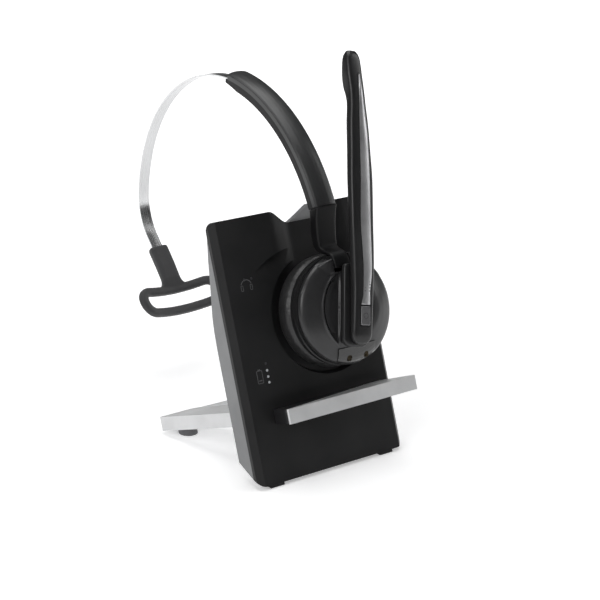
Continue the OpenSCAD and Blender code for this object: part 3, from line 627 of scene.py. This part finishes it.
# ---- neck that runs from the headband arm onto the cup ----
NECK = [  # u, n, half width, half depth, direction of the section in degrees
    (125.75, 15.1, 6.1, 3.75, 7),
    (125.2, 15.0, 6.1, 3.75, 9),
    (122, 13.9, 6.05, 3.6, 17),
    (118, 12.4, 5.9, 3.4, 17),
    (113, 11.2, 5.7, 3.2, 10),
    (109, 10.7, 5.5, 3.0, 6),
    (106.4, 11.0, 5.3, 2.8, 16),
    (104.9, 12.6, 5.1, 1.9, 42),
    (103.9, 15.5, 4.85, 0.95, 62),
    (103.1, 18.1, 4.7, 0.95, 54),
    (101.3, 20.4, 4.65, 1.3, 34),
    (98.6, 21.4, 4.7, 1.3, 14),
    (96.4, 21.7, 4.65, 1.0, 6),
    (95.4, 21.8, 4.6, 0.8, 4),
]
neck_rings = []
for u, n, w, h, deg in NECK:
    a = math.radians(deg)
    ring = []
    for x, t in rounded(w, -h, h, min(1.1, h * 0.8), 0.0, 4):
        ring.append((CUP_X + x, u + t * math.sin(a), n + t * math.cos(a)))
    neck_rings.append(ring)
neck = add_piece("arm_neck", *loft(neck_rings), FACE, "headset", arm_black, "arm_black", ["arm_yoke"])
soft = neck.modifiers.new("soft", "SUBSURF")
soft.levels = soft.render_levels = 2
bake(neck)
smooth_by_angle(neck, 50)

# ---- temple rest: a bent rubber loop on a stem ----
REST_W, REST_H, REST_BAR, REST_MID, REST_CURVE = 53.0, 18.0, 5.0, -40.5, 48.0
REST_HALF_T = 2.15


def rest_bend(x, y, z):
    """Bends a point of the flat loop round an upright cylinder, to follow the head."""
    a = math.asin(x / REST_CURVE)
    radius = REST_CURVE - z
    return (radius * math.sin(a), y, REST_CURVE - 2.2 - radius * math.cos(a))


def loop_path(steps=96):
    """Points of the loop's middle line, each with its outward direction."""
    half, r = (REST_W - REST_BAR) / 2, (REST_H - REST_BAR) / 2
    straight = 2 * (half - r)
    total = 2 * straight + 2 * math.pi * r
    for i in range(steps):
        d = total * i / steps
        if d < straight:
            yield half - r - d, r, 0.0, 1.0
        elif d < straight + math.pi * r:
            a = math.pi / 2 + (d - straight) / r
            yield -(half - r) + r * math.cos(a), r * math.sin(a), math.cos(a), math.sin(a)
        elif d < 2 * straight + math.pi * r:
            yield -(half - r) + (d - straight - math.pi * r), -r, 0.0, -1.0
        else:
            a = -math.pi / 2 + (d - 2 * straight - math.pi * r) / r
            yield half - r + r * math.cos(a), r * math.sin(a), math.cos(a), math.sin(a)


rest_rings = []
for px, py, ox, oy in loop_path():
    ring = []
    for i in range(16):
        a = 2 * math.pi * i / 16
        c, q = math.cos(a), math.sin(a)
        out = REST_BAR / 2 * math.copysign(abs(c) ** 0.6, c)
        z = REST_HALF_T * math.copysign(abs(q) ** 0.6, q)
        ring.append(rest_bend(px + out * ox, REST_MID + py + out * oy, z))
    rest_rings.append(ring)
rest = add_piece("temple_rest_rubber", *loft(rest_rings, closed=True), TBAR, "head_rest", rubber,
                 "tbar_rubber", ["tbar_pad"])
# Place along the stem, half width and half thickness
STEM = [(-7.6, 4.6, 2.2), (-8.0, 5.3, 2.8), (-9.4, 5.5, 3.0), (-20, 5.5, 2.9), (-28, 5.6, 2.6),
        (-30.4, 6.4, 2.4), (-32.2, 8.4, 2.2), (-33.6, 12.0, 1.9), (-34.4, 13.0, 1.4)]
stem_rings = []
for y, w, h in STEM:
    drop = 0 if y > -26 else 2.2 * (-26 - y) / 8
    stem_rings.append([(x, y, z - drop) for x, z in rounded(w, -h, h, min(1.9, h * 0.9))])
stem = add_piece("rest_stem", *loft(stem_rings), TBAR, "head_rest", rubber, "tbar_rubber")
bpy.context.view_layer.update()
joined = bmesh.new()
joined.from_mesh(rest.data)
joined.from_mesh(stem.data)
joined.to_mesh(rest.data)
joined.free()
bpy.data.objects.remove(stem)
melt = rest.modifiers.new("melt", "REMESH")
melt.mode = "VOXEL"
melt.voxel_size = 0.42 * MM
bake(rest)
calm = rest.modifiers.new("calm", "SMOOTH")
calm.factor = 0.6
calm.iterations = 9
bake(rest)
boolean_cut(rest, *box_form(-4.6, 4.6, -13.9, 0, -2.25, 2.25), TBAR)
paint(rest, rubber)
smooth_by_angle(rest, 50)

# ---- printed symbols beside the status lights ----
symbol = Look("printed_symbol", (0.075, 0.075, 0.078), 0.5)
symbol.vary_rough(300, 0.05).vary_colour(300, (0.1, 0.1, 0.103)).grain(6, 0.2, 0.01)


def face_print(name, loops):
    """Thin raised print on the dock's face; each loop is a closed line of points with a width."""
    verts, faces = [], []
    for points, width, closed in loops:
        rings = []
        for i, (x, u) in enumerate(points):
            before = points[i - 1] if (closed or i) else points[i]
            after = points[(i + 1) % len(points)] if (closed or i + 1 < len(points)) else points[i]
            along = Vector((after[0] - before[0], after[1] - before[1])).normalized()
            side = Vector((-along.y, along.x)) * width / 2
            rings.append([(x + side.x, u + side.y, -0.02), (x + side.x, u + side.y, 0.03),
                          (x - side.x, u - side.y, 0.03), (x - side.x, u - side.y, -0.02)])
        v, f = loft(rings, closed=closed)
        faces += [tuple(k + len(verts) for k in corners) for corners in f]
        verts += v
    add_piece(name, verts, faces, FACE, "dock", symbol, "dock_grey", smooth=False)


def round_rect(x, u, w, h, r):
    points = []
    for cx, cu, start in ((x + w - r, u + h - r, 0), (x - w + r, u + h - r, 90), (x - w + r, u - h + r, 180),
                          (x + w - r, u - h + r, 270)):
        for i in range(4):
            a = math.radians(start + 30 * i)
            points.append((cx + r * math.cos(a), cu + r * math.sin(a)))
    return points


def arc_line(x, u, r, start, end, steps=16):
    return [(x + r * math.cos(math.radians(start + (end - start) * i / steps)),
             u + r * math.sin(math.radians(start + (end - start) * i / steps))) for i in range(steps + 1)]


face_print("battery_symbol", [(round_rect(-32.2, 51.6, 1.5, 3.0, 0.4), 0.35, True),
                              ([(-32.9, 55.1), (-31.5, 55.1)], 0.5, False),
                              ([(-33.1, 49.9), (-31.3, 49.9)], 0.6, False)])
face_print("listening_symbol", [(arc_line(-30, 95.4, 3.0, 20, 160), 0.4, False),
                                (round_rect(-32.6, 94.6, 0.55, 1.3, 0.3), 0.3, True),
                                (round_rect(-27.4, 94.6, 0.55, 1.3, 0.3), 0.3, True)])

# ---- camera ----
camera_data = bpy.data.cameras.new("camera")
camera = bpy.data.objects.new("camera", camera_data)
scene.collection.objects.link(camera)
scene.camera = camera
camera_data.lens = 99
camera_data.sensor_width = 36
camera_data.clip_start = 0.01
EYE = (-441.9 - ORIGIN[0], -588.85 - ORIGIN[1], 339.8)
AIM = (-20.78 - ORIGIN[0], -ORIGIN[1], 92.07)
eye = Vector(EYE) * MM
aim = Vector(AIM) * MM
camera.location = eye
camera.rotation_euler = (aim - eye).to_track_quat("-Z", "Y").to_euler()

# ---- floor and light ----
floor_mesh = bpy.data.meshes.new("floor")
bm = bmesh.new()
bmesh.ops.create_grid(bm, x_segments=8, y_segments=8, size=6)
bm.to_mesh(floor_mesh)
bm.free()
floor = bpy.data.objects.new("floor", floor_mesh)
scene.collection.objects.link(floor)
floor_look = Look("pale_floor", (0.93, 0.93, 0.935), 0.6, 0, 0.2)
floor_look.vary_rough(6, 0.04)
floor_look.set("Emission Color", (1, 1, 1, 1))
spread = floor_look.node("ShaderNodeVectorMath", operation="LENGTH")
floor_look.link(floor_look.coords, spread.inputs[0])
glow = floor_look.ranged(spread.outputs["Value"], 0.36, 1.0, (0.2, 1.1))
floor_look.link(glow, floor_look.shader.inputs["Emission Strength"])
paint(floor, floor_look)

world = bpy.data.worlds.new("studio")
scene.world = world
world.use_nodes = True
tree = world.node_tree
backdrop = tree.nodes["Background"]
direction = tree.nodes.new("ShaderNodeTexCoord").outputs["Generated"]
split = tree.nodes.new("ShaderNodeSeparateXYZ")
tree.links.new(direction, split.inputs[0])


def sky_part(axis, low, high, amount):
    r = tree.nodes.new("ShaderNodeMapRange")
    r.interpolation_type = "SMOOTHSTEP"
    for key, value in zip(("From Min", "From Max", "To Min", "To Max"), (low, high, 0.0, amount)):
        r.inputs[key].default_value = value
    tree.links.new(split.outputs[axis], r.inputs["Value"])
    return r.outputs["Result"]


# Light from above and from behind, and a little from in front and from the left
total = sky_part("Z", 0.3, 0.95, 0.7)
others = (sky_part("Y", -0.05, 0.6, 0.85), sky_part("Y", 1.0, -1.0, 0.07), sky_part("X", -0.8, -1.0, 0.12))
for part in others:
    add = tree.nodes.new("ShaderNodeMath")
    add.operation = "ADD"
    tree.links.new(total, add.inputs[0])
    tree.links.new(part, add.inputs[1])
    total = add.outputs[0]
tree.links.new(total, backdrop.inputs["Strength"])
scene.view_settings.view_transform = "Standard"


def softbox(name, place, target, size, watts):
    data = bpy.data.lights.new(name, "AREA")
    data.shape = "RECTANGLE"
    data.size, data.size_y = size
    data.energy = watts
    lamp = bpy.data.objects.new(name, data)
    scene.collection.objects.link(lamp)
    lamp.location = place
    lamp.rotation_euler = (Vector(target) - Vector(place)).to_track_quat("-Z", "Y").to_euler()


softbox("key", (-1.3, -0.5, 1.0), (0, 0, 0.08), (0.9, 0.9), 11)
softbox("top", (0.1, 0.3, 1.6), (0, 0, 0.05), (1.4, 1.4), 18)
softbox("right", (1.3, -0.6, 0.8), (0, 0, 0.1), (0.5, 1.0), 6)
